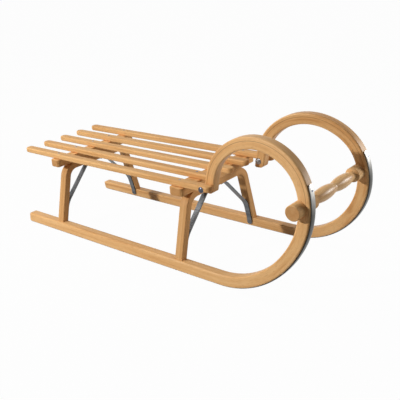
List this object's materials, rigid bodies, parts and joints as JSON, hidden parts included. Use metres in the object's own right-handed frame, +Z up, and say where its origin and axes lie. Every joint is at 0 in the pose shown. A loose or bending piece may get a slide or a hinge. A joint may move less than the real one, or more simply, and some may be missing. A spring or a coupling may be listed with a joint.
{
  "type": "wooden horn sled",
  "caption": "Wooden horn toboggan: runners curling up into ring-shaped horns, a turned crossbar between them, bentwood trestles, a slatted seat, steel soles and braces.",
  "frame": {"origin": "middle of the sled's length and width, on the ground under the steel soles", "axes": "+X is forward to the horns, +Y is the sled's left, +Z is up"},
  "size_m": [1.1113, 0.3946, 0.4148],
  "materials": {
    "lacquered_wood": "clear satin lacquer on pale beech",
    "bright_steel": "bright rolled steel",
    "grey_steel": "dull grey steel"
  },
  "bodies": {
    "root": {"runner_right": "lacquered_wood", "runner_left": "lacquered_wood", "trestle_bow_front": "lacquered_wood", "trestle_bow_rear": "lacquered_wood", "cross_rail_front": "lacquered_wood", "cross_rail_rear": "lacquered_wood", "slat_outer_right": "lacquered_wood", "slat_inner_right": "lacquered_wood", "slat_middle": "lacquered_wood", "slat_inner_left": "lacquered_wood", "slat_outer_left": "lacquered_wood", "crossbar": "lacquered_wood", "runner_steel_right": "bright_steel", "runner_steel_left": "bright_steel", "brace_front_right": "grey_steel", "brace_front_left": "grey_steel", "brace_rear_right": "grey_steel", "brace_rear_left": "grey_steel"}
  },
  "joints": []
}
